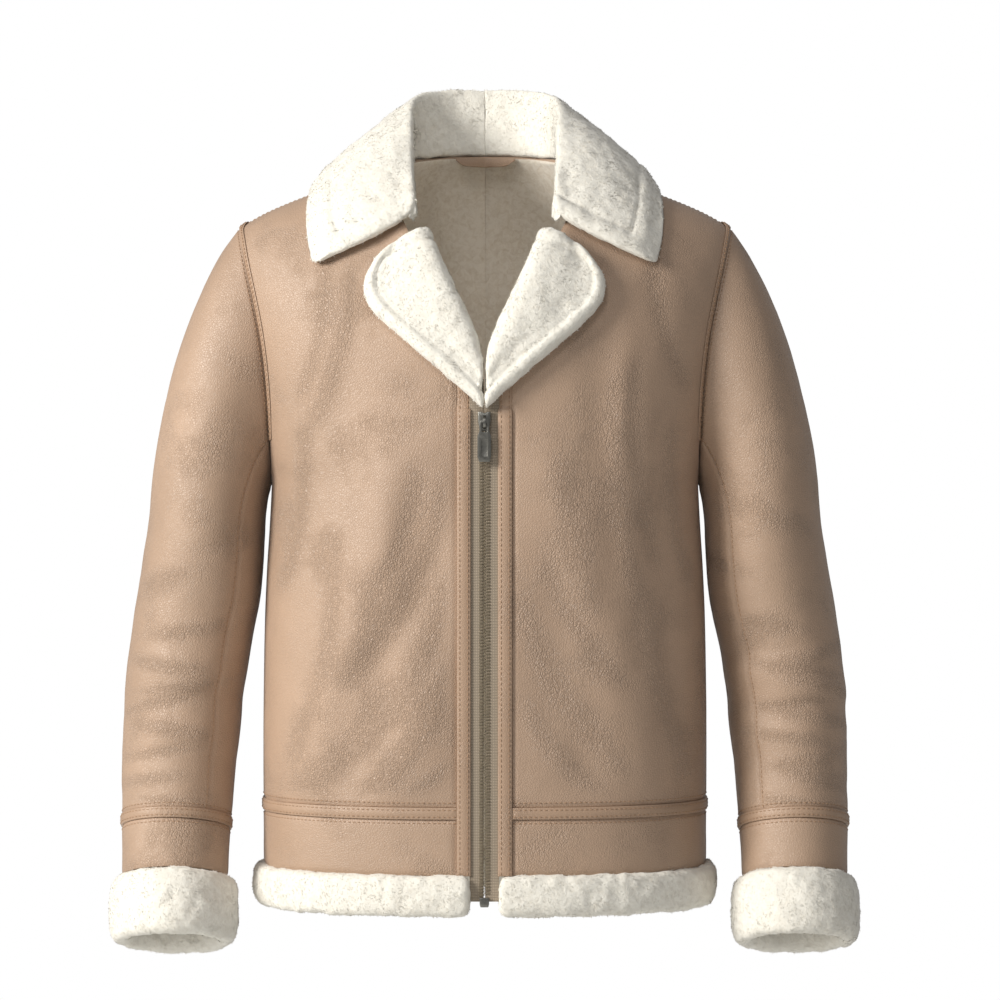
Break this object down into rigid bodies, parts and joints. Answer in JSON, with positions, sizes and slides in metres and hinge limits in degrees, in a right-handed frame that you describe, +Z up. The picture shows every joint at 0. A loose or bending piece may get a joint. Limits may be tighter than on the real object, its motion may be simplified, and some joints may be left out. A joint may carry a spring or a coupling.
{
  "type": "shearling jacket",
  "caption": "Zipped leather jacket with wool collar, lapels, hem and cuffs, in worn form with open neck, hem and sleeves",
  "frame": {"origin": "the base of the neck, level with the high points of the shoulder seams, on the middle plane, where a wearer or a hanger holds the jacket", "axes": "+Z up, the longest way of the garment; +Y towards the back, the shortest way; +X to the wearer's left; the front faces -Y"},
  "size_m": [0.6812, 0.2775, 0.8029],
  "materials": {
    "leather": "tan grained leather skin",
    "leather_strap": "tan smooth leather strap",
    "wool": "cream curly wool pile",
    "zip_tape": "woven tape",
    "zip_metal": "dull dark nickel"
  },
  "bodies": {
    "jacket": {"front_left": "leather", "front_right": "leather", "back_left": "leather", "back_right": "leather", "hem_strap_left": "leather_strap", "hem_strap_right": "leather_strap", "hem_strap_back": "leather_strap", "hem_band_left": "leather", "hem_band_right": "leather", "hem_band_back": "leather", "hem_fur_left": "wool", "hem_fur_right": "wool", "hem_fur_back": "wool", "front_strip_left": "leather_strap", "front_strip_right": "leather_strap", "zip_tape_left": "zip_tape", "zip_tape_right": "zip_tape", "zip_chain": "zip_metal", "zip_slider": "zip_metal", "zip_box": "zip_metal", "collar_left": "wool", "collar_right": "wool", "lapel_left": "wool", "lapel_right": "wool", "sleeve_top_left": "leather", "sleeve_top_right": "leather", "sleeve_under_left": "leather", "sleeve_under_right": "leather", "sleeve_strap_left": "leather_strap", "sleeve_strap_right": "leather_strap", "sleeve_band_left": "leather", "sleeve_band_right": "leather", "cuff_fur_left": "wool", "cuff_fur_right": "wool", "armhole_strap_left": "leather_strap", "armhole_strap_right": "leather_strap", "hanger_loop": "leather_strap"},
    "zip_pull": {"zip_pull": "zip_metal"}
  },
  "joints": [
    {"name": "pull_swing", "type": "hinge", "parent": "jacket", "child": "zip_pull", "pos_m": [0, -0.13829, -0.244], "axis": [-1, 0, 0], "range_deg": [0, 110]}
  ]
}
